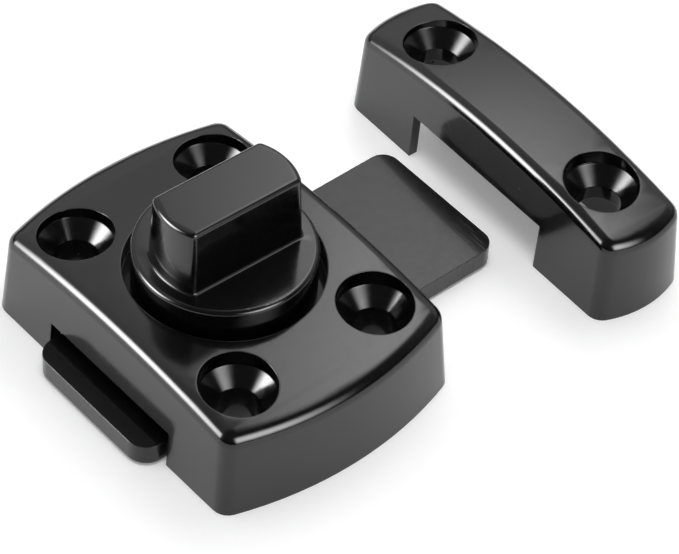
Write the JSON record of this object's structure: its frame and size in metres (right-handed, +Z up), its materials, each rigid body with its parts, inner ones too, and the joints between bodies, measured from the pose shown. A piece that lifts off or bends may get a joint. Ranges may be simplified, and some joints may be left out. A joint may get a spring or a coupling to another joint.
{
  "type": "rotating bolt latch",
  "caption": "Surface-mounted latch: a domed black cast case, a turning knob that slides a flat bolt, and a separate matching keeper that takes the bolt.",
  "frame": {"origin": "on the mounting surface, below the axis of the knob and in the middle of the four case holes", "axes": "+X along the bolt toward the keeper, +Y across the bolt, +Z up from the mounting surface along the knob's axis"},
  "size_m": [0.0853, 0.0607, 0.0304],
  "materials": {
    "black_coat": "gloss",
    "plated_steel": "satin"
  },
  "bodies": {
    "base": {"case": "black_coat", "keeper": "black_coat"},
    "turning_knob": {"knob": "black_coat", "crank": "plated_steel", "crank_screw": "plated_steel"},
    "sliding_bolt": {"bolt": "black_coat"}
  },
  "joints": [
    {"name": "knob_turn", "type": "hinge", "parent": "base", "child": "turning_knob", "pos_m": [0, 0, 0.01], "axis": [0, 0, 1], "range_deg": [0, 90]},
    {"name": "bolt_slide", "type": "slide", "parent": "base", "child": "sliding_bolt", "axis": [1, 0, 0], "range_m": [-0.016, 0]}
  ],
  "couplings": [
    {"joint": "knob_turn", "follows": "bolt_slide", "rad_per_m": -98.175}
  ]
}
